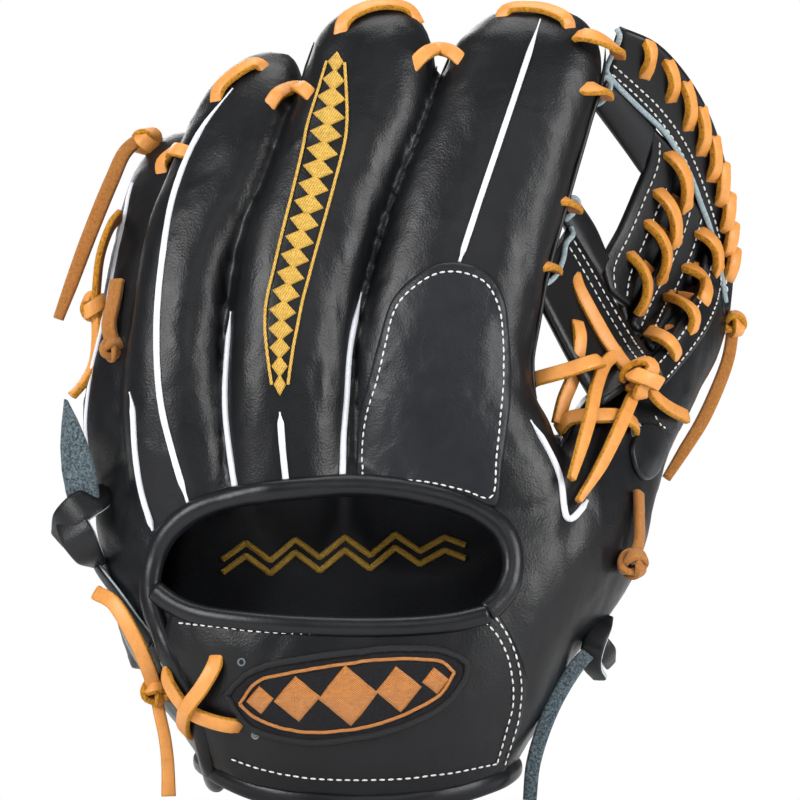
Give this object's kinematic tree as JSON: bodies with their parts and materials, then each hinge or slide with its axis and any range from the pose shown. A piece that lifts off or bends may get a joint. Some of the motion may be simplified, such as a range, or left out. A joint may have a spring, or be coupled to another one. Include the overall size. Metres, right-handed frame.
{
  "type": "baseball fielding glove",
  "caption": "Laced leather baseball glove for the left hand, open back with wrist strap, finger stalls and a laced post web, hinging at the thumb.",
  "frame": {"origin": "centre of the hand opening at the lower edge of the wrist strap", "axes": "+Z from the wrist strap to the fingertips, -Y out of the back of the glove, +X towards the thumb and web"},
  "size_m": [0.2478, 0.1321, 0.2816],
  "materials": {
    "leather_black": "satin, fine grain",
    "lace_tan": "smooth tanned lace, suede back",
    "welt_white": "smooth",
    "satin_copper": "satin-stitched thread",
    "thread_gold": "embroidery thread",
    "lining_black": "soft matte lining",
    "pad_felt": "felt"
  },
  "bodies": {
    "hand": {"index_back_panel": "leather_black", "middle_back_panel": "leather_black", "ring_back_panel": "leather_black", "pinky_back_panel": "leather_black", "palm_shell": "leather_black", "wrist_strap": "leather_black", "wrist_binding": "leather_black", "strap_top_roll": "leather_black", "palm_lining": "lining_black", "palm_pad": "pad_felt", "welt_pinky_ring": "welt_white", "welt_ring_ridge": "welt_white", "welt_ring_middle": "welt_white", "welt_middle_short": "welt_white", "welt_middle_index": "welt_white", "welt_index_ridge": "welt_white", "welt_thumb_crotch": "welt_white", "tip_lace_pinky": "lace_tan", "tip_lace_ring": "lace_tan", "tip_lace_ring_middle": "lace_tan", "tip_lace_middle": "lace_tan", "tip_lace_middle_index": "lace_tan", "tip_lace_index": "lace_tan", "strap_cross_lace": "lace_tan", "pinky_tip_tail": "lace_tan", "heel_tail": "lace_tan", "pinky_tip_knot": "lace_tan", "pinky_side_knot": "lace_tan", "pinky_suede_knot": "lace_tan", "heel_knot": "lace_tan", "left_leather_tie": "leather_black", "web_tie_upper": "lace_tan", "web_tie_lower": "lace_tan", "finger_pad": "leather_black", "strap_patch": "leather_black", "lining_embroidery": "thread_gold", "patch_embroidery": "satin_copper", "finger_embroidery": "thread_gold"},
    "thumb": {"thumb_back_panel": "leather_black", "thumb_front_panel": "leather_black", "web_rim_band": "leather_black", "web_upper_roll": "leather_black", "web_post_left": "leather_black", "web_post_middle": "leather_black", "web_post_right": "leather_black", "web_lower_roll": "leather_black", "web_lower_band": "leather_black", "web_rim_lace": "lace_tan", "web_row_lace_outer": "lace_tan", "web_row_lace_inner": "lace_tan", "thumb_tip_tail": "lace_tan", "right_leather_tail": "leather_black", "web_tail_left": "lace_tan", "web_tail_right": "lace_tan", "crotch_lace": "lace_tan", "thumb_tip_knot": "lace_tan", "thumb_side_knot": "lace_tan", "web_knot": "lace_tan", "right_leather_tie": "leather_black", "thumb_loop": "leather_black"}
  },
  "joints": [
    {"name": "thumb_close", "type": "hinge", "parent": "hand", "child": "thumb", "pos_m": [0.0227, 0.026, 0], "axis": [0.2706, 0, 0.9627], "range_deg": [0, 20]}
  ]
}
